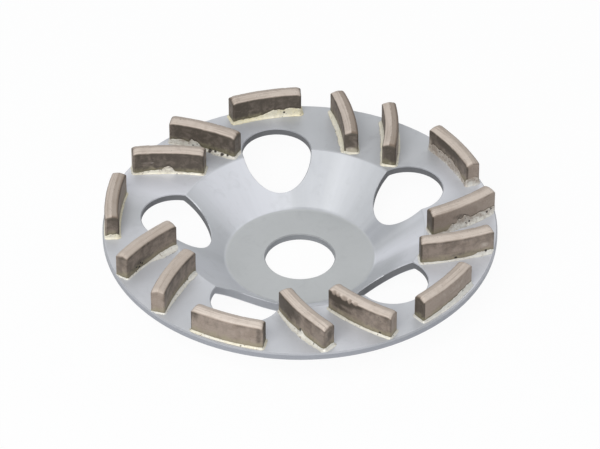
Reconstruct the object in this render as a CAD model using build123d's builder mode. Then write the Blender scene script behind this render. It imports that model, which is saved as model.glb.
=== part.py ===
from build123d import *
from math import atan2, cos, degrees, radians, sin, tan
import os

# Diamond cup wheel for an angle grinder, in millimetres.
# The origin is the centre of the bore on the hub's back face, and +Z runs towards the abrasive.

# Wheel body: one dished steel disc, a flat hub and a flat rim joined by a cone
wheel_radius = 62.5
plate = 2.5
bore_radius = 11.115
cone_width = 15.85
rim_width = 22.9
dish_depth = 12.4
hub_bend_radius = 2.5
hub_back_radius = 4.0
rim_chamfer = 0.4
bore_chamfer = 0.3

# Dust holes, punched along the axis across the bend between rim and cone
hole_count = 5
hole_radius = 11.1
first_hole_angle = 29.0
hole_edge_chamfer = 0.25

# Abrasive segments: short arcs with a low roof, as long as the flat of the rim lets them lean
segment_width = 4.7
segment_lean = 31.0
segment_end_margin = 0.12
segment_bend_radius = 70.0
eave_height = 8.0
roof_rise = 0.85
segment_corner_chamfer = 0.35

# Braze: a film under each segment and a hollow bead round its foot
braze_film = 0.2
bead_reach = 1.15
bead_waist_reach = 0.45
bead_waist_height = 0.5
bead_top_reach = 0.06
bead_top_height = 1.3
bead_edge_margin = 0.1

# Where segments stand in every fifth of the rim. Two lean across it, before and after a dust
# hole, and one lies along its outer edge between them.
leading_angle = 2.2
leading_lean = 29.8
edge_angle = 31.2
edge_inset = 3.5
edge_lean = 90.0
trailing_angle = 54.8
trailing_shift = 0.35
trailing_lean = 32.6

# The segments are set by hand: how far each is off its station round the rim in degrees,
# outwards in millimetres and in its lean in degrees, three segments to each fifth
setting_errors = (
    ((0.4, 0.2, 0), (1.0, 0.2, -1), (0.2, 0.2, 2)),
    ((-1.5, 0.0, -1), (-2.2, 0.3, 2), (-0.4, 0.1, 0)),
    ((-1.0, 0.2, 4), (-0.6, 0.5, 1), (-0.4, -0.2, -3)),
    ((0.2, 0.0, -3), (0.7, -0.3, 0), (0.8, -0.9, 2)),
    ((1.9, -0.5, 1), (1.0, -0.5, 0), (0.7, -0.2, -1)),
)

rim_inner_radius = wheel_radius - rim_width
rim_middle_radius = wheel_radius - rim_width / 2
hub_radius = rim_inner_radius - cone_width
hole_circle_radius = rim_inner_radius
rim_back = dish_depth
rim_top = dish_depth + plate
rim_span = rim_width - 2 * segment_end_margin
leaning_width = segment_width * sin(radians(segment_lean))
segment_length = (rim_span - leaning_width) / cos(radians(segment_lean))
leading_station = (leading_angle, rim_middle_radius, leading_lean)
edge_station = (edge_angle, wheel_radius - edge_inset, edge_lean)
trailing_station = (trailing_angle, rim_middle_radius + trailing_shift, trailing_lean)
stations = (leading_station, edge_station, trailing_station)
dish_slope = atan2(dish_depth, cone_width)
back_shift = plate * tan(dish_slope / 2)
segment_arc = segment_length / segment_bend_radius
bend_centre = (0, segment_bend_radius)
inner_face_radius = segment_bend_radius - segment_width / 2
outer_face_radius = segment_bend_radius + segment_width / 2

os.makedirs("parts", exist_ok=True)


def keep(piece, node):
    """Labels a finished piece and writes it under its node's name."""
    piece.part.label = node
    export_step(piece.part, f"parts/{node}.step")


def foot_outline(height, grow):
    """Returns the segment's foot at a height over the rim, widened all round by grow."""
    start = 270 - degrees(segment_arc) / 2
    with BuildSketch(Plane.XY.offset(height)) as outline:
        with BuildLine():
            inner = CenterArc(bend_centre, inner_face_radius, start, degrees(segment_arc))
            outer = CenterArc(bend_centre, outer_face_radius, start, degrees(segment_arc))
            Line(inner @ 0, outer @ 0)
            Line(inner @ 1, outer @ 1)
        make_face()
        chamfer(outline.vertices(), length=segment_corner_chamfer)
        offset(amount=grow, kind=Kind.INTERSECTION)
    return outline.sketch.face()


def seat_plane(station, error, fifth):
    """Where a segment stands: on the rim, with x along the segment and outwards."""
    angle, radius, lean = [wanted + off for wanted, off in zip(station, error)]
    place = radians(angle + fifth * 360 / hole_count)
    heading = place + radians(lean)
    return Plane(
        origin=(radius * cos(place), radius * sin(place), rim_top),
        x_dir=(cos(heading), sin(heading), 0),
        z_dir=(0, 0, 1),
    )


# Wheel body
with BuildPart() as wheel_body:
    with BuildSketch(Plane.XZ) as section:
        with BuildLine():
            Polyline(
                (bore_radius, 0),
                (hub_radius + back_shift, 0),
                (rim_inner_radius + back_shift, rim_back),
                (wheel_radius, rim_back),
                (wheel_radius, rim_top),
                (rim_inner_radius, rim_top),
                (hub_radius, plate),
                (bore_radius, plate),
                close=True,
            )
        make_face()
        fillet(section.vertices().sort_by_distance((hub_radius, plate))[0], radius=hub_bend_radius)
        hub_back = section.vertices().sort_by_distance((hub_radius + back_shift, 0))[0]
        fillet(hub_back, radius=hub_back_radius)
        chamfer(section.vertices().group_by(Axis.X)[-1], length=rim_chamfer)
        chamfer(section.vertices().group_by(Axis.X)[0], length=bore_chamfer)
    revolve(axis=Axis.Z)
    with BuildSketch(Plane.XY) as dust_holes:
        with PolarLocations(hole_circle_radius, hole_count, start_angle=first_hole_angle):
            Circle(hole_radius)
    extrude(amount=rim_top, mode=Mode.SUBTRACT)
    chamfer(wheel_body.edges(Select.LAST).filter_by(GeomType.LINE, reverse=True), length=hole_edge_chamfer)
keep(wheel_body, "wheel_body")

# One segment over its seat: the roofed section is turned about the centre of the segment's bend
first_end = segment_arc / 2
start_plane = Plane(
    origin=(0, segment_bend_radius, 0),
    x_dir=(-sin(first_end), -cos(first_end), 0),
    z_dir=(-cos(first_end), sin(first_end), 0),
)
with BuildPart() as segment_blank:
    with BuildSketch(start_plane) as roofed_section:
        with BuildLine():
            Polyline(
                (inner_face_radius, braze_film),
                (outer_face_radius, braze_film),
                (outer_face_radius, eave_height),
                (segment_bend_radius, eave_height + roof_rise),
                (inner_face_radius, eave_height),
                close=True,
            )
        make_face()
    revolve(axis=Axis((0, segment_bend_radius, 0), (0, 0, 1)), revolution_arc=degrees(segment_arc))
    chamfer(segment_blank.edges().filter_by(Axis.Z), length=segment_corner_chamfer)

# The braze of one segment over its seat, before the segment stands in it
with BuildPart() as braze_blank:
    bead_foot = foot_outline(0, bead_reach)
    bead_waist = foot_outline(bead_waist_height, bead_waist_reach)
    bead_top = foot_outline(bead_top_height, bead_top_reach)
    loft(sections=[bead_foot, bead_waist, bead_top], ruled=True)

# The flat of the rim that braze can lie on, clear of the holes and of both edges
with BuildPart() as braze_land:
    with BuildSketch(Plane.XY.offset(rim_top)) as land:
        Circle(wheel_radius - rim_chamfer - bead_edge_margin)
        Circle(rim_inner_radius + bead_edge_margin, mode=Mode.SUBTRACT)
        with PolarLocations(hole_circle_radius, hole_count, start_angle=first_hole_angle):
            Circle(hole_radius + hole_edge_chamfer + bead_edge_margin, mode=Mode.SUBTRACT)
    extrude(amount=bead_top_height + plate, both=True)

number = 0
for fifth in range(hole_count):
    for station, error in zip(stations, setting_errors[fifth % len(setting_errors)]):
        number += 1
        seat = seat_plane(station, error, fifth)
        with BuildPart() as segment:
            with Locations(seat.location):
                add(segment_blank.part)
        keep(segment, f"segment_{number:02d}")
        with BuildPart() as braze:
            with Locations(seat.location):
                add(braze_blank.part)
            add(braze_land.part, mode=Mode.INTERSECT)
            add(segment.part, mode=Mode.SUBTRACT)
        keep(braze, f"braze_{number:02d}")
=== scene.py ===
"""Diamond cup wheel: looks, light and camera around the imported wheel.

Lengths are in metres. The origin is the centre of the bore on the back of the hub, and +Z runs
towards the abrasive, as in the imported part.
"""

import logging
import math
from dataclasses import dataclass, field
from enum import Enum
from typing import Callable, Iterable, Sequence

import bmesh
import bpy
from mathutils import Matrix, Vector, noise

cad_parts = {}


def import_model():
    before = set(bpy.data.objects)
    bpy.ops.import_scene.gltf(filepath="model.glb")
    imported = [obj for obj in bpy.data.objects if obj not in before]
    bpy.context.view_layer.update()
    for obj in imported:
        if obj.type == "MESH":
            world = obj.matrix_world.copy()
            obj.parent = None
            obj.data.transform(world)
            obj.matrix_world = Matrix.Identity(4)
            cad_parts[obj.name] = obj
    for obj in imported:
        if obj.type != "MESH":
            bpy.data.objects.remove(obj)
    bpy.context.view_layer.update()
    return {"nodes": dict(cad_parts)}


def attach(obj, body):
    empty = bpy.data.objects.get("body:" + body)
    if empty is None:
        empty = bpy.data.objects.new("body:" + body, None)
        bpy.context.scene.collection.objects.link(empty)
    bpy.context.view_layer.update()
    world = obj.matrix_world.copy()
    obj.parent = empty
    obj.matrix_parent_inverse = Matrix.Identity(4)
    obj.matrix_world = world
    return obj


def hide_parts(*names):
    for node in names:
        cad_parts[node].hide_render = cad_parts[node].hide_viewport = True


LOG = logging.getLogger("cup_wheel")
MM = 0.001
RIM_TOP = 14.9 * MM
Colour = tuple[float, float, float, float]


def rgb(red: float, green: float, blue: float) -> Colour:
    """Returns a colour with full alpha."""
    return (red, green, blue, 1.0)


class Slot(Enum):
    """The record's names of material slots for the abrasive and the braze."""

    ABRASIVE = "abrasive"
    BRAZE = "braze"


class Side(Enum):
    """The four walls of a segment, in the order in which a walk round its foot meets them."""

    CONCAVE = 0
    OUTER_END = 1
    CONVEX = 2
    INNER_END = 3


class Field(Enum):
    """What the segments' and beads' meshes carry for their finishes."""

    LOCAL = "local_place"
    # On the segments' roofs this also carries painted shade on one facet.
    SOOT = "soot"
    PALE = "pale"
    PIT = "pit"


@dataclass
class NodeSheet:
    """A node tree with short calls to add nodes and join them.

    The Mix node has a set of sockets for each kind of value, so those for colours go by number.
    """

    tree: bpy.types.NodeTree
    mix_amount: int = 0
    mix_first: int = 6
    mix_second: int = 7
    mix_result: int = 2

    def add(self, kind: str, **settings: object) -> bpy.types.Node:
        """Adds a node.

        Args:
            kind: The node's type without its ShaderNode prefix.
            settings: Properties to set on it.

        Returns:
            The new node.
        """
        prefix = "" if kind.startswith("NodeGroup") else "ShaderNode"
        node = self.tree.nodes.new(prefix + kind)
        for name, value in settings.items():
            setattr(node, name, value)
        return node

    def join(self, source: bpy.types.NodeSocket, target: bpy.types.NodeSocket) -> None:
        """Links one socket to another."""
        self.tree.links.new(source, target)

    def put(self, value: object, target: bpy.types.NodeSocket) -> None:
        """Links a socket, or sets a plain value on the target.

        Args:
            value: A socket, or a number or colour.
            target: The input that gets it.
        """
        if isinstance(value, bpy.types.NodeSocket):
            self.join(value, target)
        else:
            target.default_value = value

    def math(self, operation: str, first: object, second: object = 0.0) -> bpy.types.NodeSocket:
        """Adds a Math node.

        Args:
            operation: The node's operation, such as MULTIPLY.
            first: A socket or a number.
            second: A socket or a number.

        Returns:
            The node's output.
        """
        node = self.add("Math", operation=operation)
        self.put(first, node.inputs[0])
        self.put(second, node.inputs[1])
        return node.outputs[0]

    def times(self, *factors: object) -> bpy.types.NodeSocket:
        """Multiplies sockets and numbers.

        Args:
            factors: The sockets and numbers, at least two.

        Returns:
            Their product.
        """
        product = factors[0]
        for factor in factors[1:]:
            product = self.math("MULTIPLY", product, factor)
        return product

    def spread(self, value: object, low: float, high: float, to_low: float = 0.0,
               to_high: float = 1.0) -> bpy.types.NodeSocket:
        """Maps a range of a value to another range, smoothly and kept inside it.

        Args:
            value: The socket to map.
            low: The value that becomes to_low.
            high: The value that becomes to_high.
            to_low: The result at low.
            to_high: The result at high.

        Returns:
            The mapped value.
        """
        node = self.add("MapRange", interpolation_type="SMOOTHSTEP")
        self.put(value, node.inputs["Value"])
        node.inputs["From Min"].default_value = low
        node.inputs["From Max"].default_value = high
        node.inputs["To Min"].default_value = to_low
        node.inputs["To Max"].default_value = to_high
        return node.outputs["Result"]

    def blend(self, amount: object, first: object, second: object) -> bpy.types.NodeSocket:
        """Mixes two colours.

        Args:
            amount: How much of the second, as a socket or a number.
            first: A socket or a colour.
            second: A socket or a colour.

        Returns:
            The mixed colour.
        """
        node = self.add("Mix", data_type="RGBA")
        self.put(amount, node.inputs[self.mix_amount])
        self.put(first, node.inputs[self.mix_first])
        self.put(second, node.inputs[self.mix_second])
        return node.outputs[self.mix_result]

    def noise(self, where: bpy.types.NodeSocket, scale: object, detail: float = 4.0,
              roughness: float = 0.55, twist: float = 0.0) -> bpy.types.NodeSocket:
        """Adds a Noise texture.

        Args:
            where: The vector to read it at.
            scale: Its scale, as a socket or a number.
            detail: How many finer layers it has.
            roughness: How strong the finer layers are.
            twist: How far it distorts itself.

        Returns:
            The noise from 0 to 1.
        """
        node = self.add("TexNoise")
        self.join(where, node.inputs["Vector"])
        self.put(scale, node.inputs["Scale"])
        node.inputs["Detail"].default_value = detail
        node.inputs["Roughness"].default_value = roughness
        node.inputs["Distortion"].default_value = twist
        return node.outputs["Fac"]

    def vector(self, across: object, along: object, up: object) -> bpy.types.NodeSocket:
        """Joins three values to a vector.

        Args:
            across: The first value, a socket or a number.
            along: The second.
            up: The third.

        Returns:
            The vector.
        """
        node = self.add("CombineXYZ")
        self.put(across, node.inputs[0])
        self.put(along, node.inputs[1])
        self.put(up, node.inputs[2])
        return node.outputs[0]

    def parts(self, vector: bpy.types.NodeSocket) -> bpy.types.NodeOutputs:
        """Splits a vector.

        Args:
            vector: The vector.

        Returns:
            Its values under the names X, Y and Z.
        """
        node = self.add("SeparateXYZ")
        self.join(vector, node.inputs[0])
        return node.outputs

    def carried(self, which: Field) -> bpy.types.Node:
        """Reads a value that the mesh carries."""
        return self.add("Attribute", attribute_name=which.value)


@dataclass(frozen=True)
class GroupPort:
    """One named input or output of a node group."""

    name: str
    kind: str
    default: object = None
    out: bool = False


class EffectGroup:
    """A shader node group that several finishes place with their own values."""

    name = "effect"
    ports: tuple[GroupPort, ...] = ()

    def tree(self) -> bpy.types.NodeTree:
        """Finds the group's node tree, or builds it on the first call.

        Returns:
            The node tree.
        """
        found = bpy.data.node_groups.get(self.name)
        if found is not None:
            return found
        tree = bpy.data.node_groups.new(self.name, "ShaderNodeTree")
        for port in self.ports:
            way = "OUTPUT" if port.out else "INPUT"
            socket = tree.interface.new_socket(name=port.name, in_out=way, socket_type=port.kind)
            if port.default is not None:
                socket.default_value = port.default
        sheet = NodeSheet(tree)
        start = sheet.add("NodeGroupInput")
        end = sheet.add("NodeGroupOutput")
        self.fill(sheet, start.outputs, end.inputs)
        return tree

    def fill(self, sheet: NodeSheet, given: bpy.types.NodeOutputs, wanted: bpy.types.NodeInputs) -> None:
        """Adds the nodes between the group's inputs and outputs."""
        raise NotImplementedError

    def place(self, sheet: NodeSheet, **values: object) -> bpy.types.NodeOutputs:
        """Puts the group in a material.

        Args:
            sheet: The material's node tree.
            values: Input names, with spaces written as underscores, and what each gets.

        Returns:
            The group node's outputs.
        """
        node = sheet.add("Group")
        node.node_tree = self.tree()
        for name, value in values.items():
            sheet.put(value, node.inputs[name.replace("_", " ")])
        return node.outputs


class EdgeWear(EffectGroup):
    """A mask of corners and edges that handling has rubbed."""

    name = "edge_wear"
    flat = 0.995
    turned = 0.90
    samples = 6
    ports = (
        GroupPort("Vector", "NodeSocketVector"),
        GroupPort("Radius", "NodeSocketFloat", 0.0004),
        GroupPort("Breakup", "NodeSocketFloat", 1500.0),
        GroupPort("Amount", "NodeSocketFloat", 1.0),
        GroupPort("Mask", "NodeSocketFloat", out=True),
    )

    def fill(self, sheet: NodeSheet, given: bpy.types.NodeOutputs, wanted: bpy.types.NodeInputs) -> None:
        """Compares the bevelled normal with the plain one and breaks the result up with noise.

        Args:
            sheet: The group's node tree.
            given: The group's inputs.
            wanted: What the group puts out.
        """
        bevel = sheet.add("Bevel", samples=self.samples)
        sheet.join(given["Radius"], bevel.inputs["Radius"])
        plain = sheet.add("NewGeometry")
        turn = sheet.add("VectorMath", operation="DOT_PRODUCT")
        sheet.join(bevel.outputs["Normal"], turn.inputs[0])
        sheet.join(plain.outputs["Normal"], turn.inputs[1])
        edge = sheet.spread(turn.outputs["Value"], self.flat, self.turned)
        grain = sheet.noise(given["Vector"], given["Breakup"], 3.0, 0.6)
        broken = sheet.times(edge, sheet.spread(grain, 0.30, 0.62), given["Amount"])
        sheet.join(broken, wanted["Mask"])


class SinterGrain(EffectGroup):
    """The grain of pressed metal powder with diamond in it: speckles, pores and height."""

    name = "sinter_grain"
    ports = (
        GroupPort("Vector", "NodeSocketVector"),
        GroupPort("Scale", "NodeSocketFloat", 2600.0),
        GroupPort("Pore Share", "NodeSocketFloat", 0.5),
        GroupPort("Speckle", "NodeSocketFloat", out=True),
        GroupPort("Pores", "NodeSocketFloat", out=True),
        GroupPort("Height", "NodeSocketFloat", out=True),
    )

    def fill(self, sheet: NodeSheet, given: bpy.types.NodeOutputs, wanted: bpy.types.NodeInputs) -> None:
        """Adds two scales of noise and a cell texture for the pores.

        Args:
            sheet: The group's node tree.
            given: The group's inputs.
            wanted: What the group puts out.
        """
        fine = sheet.noise(given["Vector"], given["Scale"], 5.0, 0.65)
        coarse = sheet.noise(given["Vector"], sheet.times(given["Scale"], 0.22), 4.0, 0.6)
        speckle = sheet.math("ADD", sheet.times(fine, 0.55), sheet.times(coarse, 0.45))
        cells = sheet.add("TexVoronoi", feature="F1")
        sheet.join(given["Vector"], cells.inputs["Vector"])
        sheet.join(sheet.times(given["Scale"], 0.5), cells.inputs["Scale"])
        chosen = sheet.spread(coarse, 0.52, 0.64)
        dots = sheet.spread(cells.outputs["Distance"], 0.30, 0.12)
        pores = sheet.times(dots, chosen, given["Pore Share"])
        sheet.join(speckle, wanted["Speckle"])
        sheet.join(pores, wanted["Pores"])
        sheet.join(sheet.math("SUBTRACT", speckle, pores), wanted["Height"])


class Stain(EffectGroup):
    """Soft patches, such as heat tint, flux and handling marks."""

    name = "stain"
    ports = (
        GroupPort("Vector", "NodeSocketVector"),
        GroupPort("Scale", "NodeSocketFloat", 120.0),
        GroupPort("Low", "NodeSocketFloat", 0.45),
        GroupPort("High", "NodeSocketFloat", 0.65),
        GroupPort("Mask", "NodeSocketFloat", out=True),
    )

    def fill(self, sheet: NodeSheet, given: bpy.types.NodeOutputs, wanted: bpy.types.NodeInputs) -> None:
        """Cuts a self-distorted noise between the two levels.

        Args:
            sheet: The group's node tree.
            given: The group's inputs.
            wanted: What the group puts out.
        """
        cloud = sheet.noise(given["Vector"], given["Scale"], 5.0, 0.6, 0.6)
        node = sheet.add("MapRange", interpolation_type="SMOOTHSTEP")
        sheet.join(cloud, node.inputs["Value"])
        sheet.join(given["Low"], node.inputs["From Min"])
        sheet.join(given["High"], node.inputs["From Max"])
        sheet.join(node.outputs["Result"], wanted["Mask"])


@dataclass(frozen=True)
class Finish:
    """What every finish shares: a name, a roughness and how metallic it is."""

    name: str = "finish"
    roughness: float = 0.5
    metallic: float = 0.0

    def material(self) -> bpy.types.Material:
        """Finds the finish's material, or makes it on the first call.

        Returns:
            The material.
        """
        found = bpy.data.materials.get(self.name)
        if found is not None:
            return found
        made = bpy.data.materials.new(self.name)
        made.use_nodes = True
        made.node_tree.nodes.clear()
        sheet = NodeSheet(made.node_tree)
        shader = sheet.add("BsdfPrincipled")
        shader.inputs["Roughness"].default_value = self.roughness
        shader.inputs["Metallic"].default_value = self.metallic
        output = sheet.add("OutputMaterial")
        sheet.join(shader.outputs["BSDF"], output.inputs["Surface"])
        self.paint(sheet, shader)
        return made

    def paint(self, sheet: NodeSheet, shader: bpy.types.Node) -> None:
        """Feeds the shader's colour, roughness and normal."""
        raise NotImplementedError

    @staticmethod
    def where(sheet: NodeSheet) -> bpy.types.NodeSocket:
        """Returns the place on the object, which is the same in every view."""
        return sheet.add("TexCoord").outputs["Object"]

    @staticmethod
    def bump(sheet: NodeSheet, shader: bpy.types.Node, height: bpy.types.NodeSocket, depth: float,
             strength: float) -> None:
        """Raises the surface by a height that feeds the shader's normal.

        Args:
            sheet: The material's node tree.
            shader: The shader that gets the normal.
            height: The height from 0 to 1.
            depth: What a height of 1 stands for, in metres.
            strength: How much of it shows.
        """
        node = sheet.add("Bump")
        node.inputs["Distance"].default_value = depth
        node.inputs["Strength"].default_value = strength
        sheet.join(height, node.inputs["Height"])
        sheet.join(node.outputs["Normal"], shader.inputs["Normal"])


@dataclass(frozen=True)
class PaintedSheen:
    """A band across the steel of painted highlight, or of painted shade where it is darker.

    Its angle round the wheel and its half width are in degrees. Its gain is below 0 where it is painted
    shade.
    """

    angle: float
    width: float
    gain: float


@dataclass(frozen=True)
class TurnedSteel(Finish):
    """Bare pressed steel, satin all over, with faint streaks drawn down the cone and bands of painted
    highlight and shade.
    """

    name: str = "turned_steel"
    roughness: float = 0.46
    metallic: float = 0.35
    base: Colour = rgb(0.475, 0.492, 0.518)
    pale: Colour = rgb(0.74, 0.755, 0.81)
    shade: Colour = rgb(0.30, 0.312, 0.345)
    hub_tint: Colour = rgb(0.470, 0.487, 0.494)
    mottle_tint: Colour = rgb(0.60, 0.61, 0.63)
    smudge_tint: Colour = rgb(0.36, 0.37, 0.38)
    cut_face: Colour = rgb(0.235, 0.245, 0.262)
    # Painted shade for the dust holes' walls, on the half of the wheel round the angle that follows.
    hole_shade: Colour = rgb(0.145, 0.148, 0.155)
    hole_shade_angle: float = 59.0
    bright_edge: Colour = rgb(0.60, 0.61, 0.63)
    # Painted shade for the chamfers, which dims their highlight.
    chamfer_shade: Colour = rgb(0.15, 0.157, 0.170)
    spoke_pitch: float = 7.0
    spoke_draw: float = 22.0
    ring_pitch: float = 2300.0
    grain_scale: float = 5200.0
    turning_depth: float = 0.02 * MM
    cut_cover: float = 0.9
    # How much painted shade the rim's upright outer edge gets.
    outside_shade_cover: float = 0.95
    chamfer_shade_cover: float = 0.38
    hub_edge: float = 23.6 * MM
    cone_edge: float = 39.6 * MM
    rim_edge: float = 62.5 * MM
    # Bands of painted highlight and painted shade round the cone.
    cone_painted_light: tuple[PaintedSheen, ...] = (
        PaintedSheen(105.0, 65.0, 0.20),
        PaintedSheen(126.0, 34.0, 0.55),
        PaintedSheen(83.0, 16.0, -0.35),
        PaintedSheen(221.0, 36.0, 0.34),
        PaintedSheen(275.0, 26.0, 0.32),
        PaintedSheen(281.0, 9.0, 0.28),
        PaintedSheen(-3.0, 10.0, 0.66),
        PaintedSheen(-9.0, 10.0, 0.25),
        PaintedSheen(22.0, 13.0, -0.30),
    )
    # More painted highlight on the outer part of the cone.
    outer_painted_light: tuple[PaintedSheen, ...] = (
        PaintedSheen(340.0, 15.0, 0.60),
        PaintedSheen(12.0, 9.0, 0.40),
    )
    outer_start: float = 30.0 * MM
    outer_full: float = 37.0 * MM
    rim_level: float = 0.42
    # Bands of painted highlight and painted shade round the rim.
    rim_painted_light: tuple[PaintedSheen, ...] = (
        PaintedSheen(60.0, 38.0, -0.50),
        PaintedSheen(152.0, 20.0, 0.62),
        PaintedSheen(171.0, 12.0, -0.34),
        PaintedSheen(342.0, 30.0, 0.36),
        PaintedSheen(238.0, 20.0, -0.16),
        PaintedSheen(303.0, 16.0, -0.18),
        PaintedSheen(89.0, 10.0, -0.34),
        PaintedSheen(285.0, 8.0, 0.18),
        PaintedSheen(27.0, 14.0, 0.30),
    )

    @staticmethod
    def painted_light(sheet: NodeSheet, angle: bpy.types.NodeSocket, bands: Sequence[PaintedSheen],
              level: float) -> bpy.types.NodeSocket:
        """Adds up the bands of painted highlight and painted shade round one zone of the wheel.

        Args:
            sheet: The material's node tree.
            angle: The angle round the wheel in radians.
            bands: The zone's bands.
            level: How pale the zone is between them.

        Returns:
            How much paler the steel is with its painted highlight, below 0 where painted shade makes it
            darker.
        """
        total: object = level
        for band in bands:
            away = sheet.math("COSINE", sheet.math("SUBTRACT", angle, math.radians(band.angle)))
            inside = math.cos(math.radians(band.width))
            peak = sheet.spread(away, inside, 1.0, 0.0, band.gain)
            total = sheet.math("ADD", peak, total)
        return total

    def paint(self, sheet: NodeSheet, shader: bpy.types.Node) -> None:
        """Mixes the zones by radius, then lays on stains, cut walls, painted shade and light on holes,
        edge and chamfers, and worn edges.

        Args:
            sheet: The material's node tree.
            shader: The material's shader.
        """
        place = self.where(sheet)
        parts = sheet.parts(place)
        x, y = parts["X"], parts["Y"]
        radius = sheet.math("SQRT", sheet.math("ADD", sheet.times(x, x), sheet.times(y, y)))
        angle = sheet.math("ARCTAN2", y, x)
        sine = sheet.math("SINE", angle)
        cosine = sheet.math("COSINE", angle)

        spokes = sheet.vector(sheet.times(sine, self.spoke_pitch), sheet.times(cosine, self.spoke_pitch),
                              sheet.times(radius, self.spoke_draw))
        streak = sheet.noise(spokes, 1.5, 5.0, 0.6)
        rings = sheet.vector(sheet.times(radius, self.ring_pitch), sheet.times(sine, 1.4),
                             sheet.times(cosine, 1.4))
        turning = sheet.noise(rings, 1.0, 3.0, 0.7)

        colour = self.zones(sheet, radius, angle, streak)
        mottle = Stain().place(sheet, Vector=place, Scale=65.0, Low=0.35, High=0.75)["Mask"]
        colour = sheet.blend(sheet.times(mottle, 0.12), colour, self.mottle_tint)
        smudge = Stain().place(sheet, Vector=place, Scale=240.0, Low=0.52, High=0.72)["Mask"]
        colour = sheet.blend(sheet.times(smudge, 0.12), colour, self.smudge_tint)
        colour, walls, chamfers = self.cuts(sheet, radius, angle, colour)
        wear = EdgeWear().place(sheet, Vector=place, Radius=0.25 * MM, Breakup=700.0, Amount=0.22)
        colour = sheet.blend(wear["Mask"], colour, self.bright_edge)
        sheet.join(colour, shader.inputs["Base Color"])

        rough = sheet.spread(streak, 0.2, 0.8, self.roughness - 0.04, self.roughness + 0.06)
        rough = sheet.math("ADD", rough, sheet.times(smudge, 0.10))
        rough = sheet.math("ADD", rough, sheet.times(walls, 0.20))
        rough = sheet.math("ADD", rough, sheet.times(chamfers, 0.35))
        sheet.join(rough, shader.inputs["Roughness"])
        fine = sheet.noise(place, self.grain_scale, 3.0, 0.6)
        height = sheet.math("ADD", sheet.times(turning, 0.6), sheet.times(fine, 0.4))
        self.bump(sheet, shader, height, self.turning_depth, 0.30)

    def zones(self, sheet: NodeSheet, radius: bpy.types.NodeSocket, angle: bpy.types.NodeSocket,
              streak: bpy.types.NodeSocket) -> bpy.types.NodeSocket:
        """Mixes the colours of hub, cone and rim with their streaks and their bands of painted highlight
        and shade.

        Args:
            sheet: The material's node tree.
            radius: The distance from the wheel's axis.
            angle: The angle round the wheel in radians.
            streak: The noise of the streaks drawn down the cone.

        Returns:
            The colour of the steel's faces.
        """
        on_hub = sheet.spread(radius, self.hub_edge + 0.25 * MM, self.hub_edge - 0.25 * MM)
        on_cone = sheet.times(
            sheet.spread(radius, self.hub_edge - 0.2 * MM, self.hub_edge + 0.5 * MM),
            sheet.spread(radius, self.cone_edge + 0.2 * MM, self.cone_edge - 0.5 * MM),
        )
        on_rim = sheet.spread(radius, self.cone_edge - 0.3 * MM, self.cone_edge + 0.4 * MM)
        # Painted highlight and painted shade on the cone, by angle.
        bands = self.painted_light(sheet, angle, self.cone_painted_light, 0.0)
        outer = self.painted_light(sheet, angle, self.outer_painted_light, 0.0)
        widened = sheet.times(outer, sheet.spread(radius, self.outer_start, self.outer_full))
        bands = sheet.math("ADD", bands, widened)
        drawn = sheet.math("ADD", bands, sheet.spread(streak, 0.25, 0.75, -0.07, 0.07))
        colour = sheet.blend(sheet.times(on_cone, self.kept(sheet, drawn, 1.0)), self.base, self.pale)
        colour = sheet.blend(sheet.times(on_cone, self.kept(sheet, drawn, -0.6)), colour, self.shade)
        # Painted highlight and painted shade on the rim, by angle.
        bands = self.painted_light(sheet, angle, self.rim_painted_light, self.rim_level)
        drawn = sheet.math("ADD", bands, sheet.spread(streak, 0.25, 0.75, -0.05, 0.05))
        colour = sheet.blend(sheet.times(on_rim, self.kept(sheet, drawn, 1.0)), colour, self.pale)
        return sheet.blend(on_hub, colour, self.hub_tint)

    def cuts(self, sheet: NodeSheet, radius: bpy.types.NodeSocket, angle: bpy.types.NodeSocket,
             colour: bpy.types.NodeSocket) -> tuple[bpy.types.NodeSocket, ...]:
        """Darkens the cut walls, paints shade on the outer edge and chamfers, and shade and light on the
        dust holes' walls by side.

        Args:
            sheet: The material's node tree.
            radius: The distance from the wheel's axis.
            angle: The angle round the wheel in radians.
            colour: The colour of the steel's faces.

        Returns:
            The colour with the cuts, the mask of the cut walls and that of the chamfers.
        """
        facing = sheet.add("NewGeometry")
        level = sheet.math("ABSOLUTE", sheet.parts(facing.outputs["True Normal"])["Z"])
        upright = sheet.spread(level, 0.30, 0.08)
        inside = sheet.spread(radius, self.rim_edge - 0.6 * MM, self.rim_edge - 1.3 * MM)
        walls = sheet.times(upright, inside)
        colour = sheet.blend(sheet.times(walls, self.cut_cover), colour, self.cut_face)
        holes = sheet.times(walls, sheet.spread(radius, self.hub_edge - 4.0 * MM, self.hub_edge))
        # Painted shade on the dust holes' walls on one half of the wheel.
        hole_shade_side = sheet.math("COSINE", sheet.math("SUBTRACT", angle, math.radians(self.hole_shade_angle)))
        dull = sheet.spread(hole_shade_side, -0.90, -0.20, 0.0, 0.85)
        colour = sheet.blend(sheet.times(holes, dull), colour, self.hole_shade)
        # Painted light on the dust holes' walls on the other half.
        painted_hole_light = sheet.spread(hole_shade_side, -0.60, -0.95, 0.0, 0.22)
        colour = sheet.blend(sheet.times(holes, painted_hole_light), colour, self.pale)
        # Painted shade on the rim's upright outer edge.
        rim_wall = sheet.spread(radius, self.rim_edge - 0.9 * MM, self.rim_edge - 0.3 * MM)
        outside = sheet.times(upright, rim_wall)
        colour = sheet.blend(sheet.times(outside, self.outside_shade_cover), colour, self.shade)
        # Painted shade on the chamfers, which dims their highlight.
        chamfers = sheet.times(sheet.spread(level, 0.765, 0.735), sheet.spread(level, 0.60, 0.66))
        colour = sheet.blend(sheet.times(chamfers, self.chamfer_shade_cover), colour, self.chamfer_shade)
        return (colour, walls, chamfers)

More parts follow.
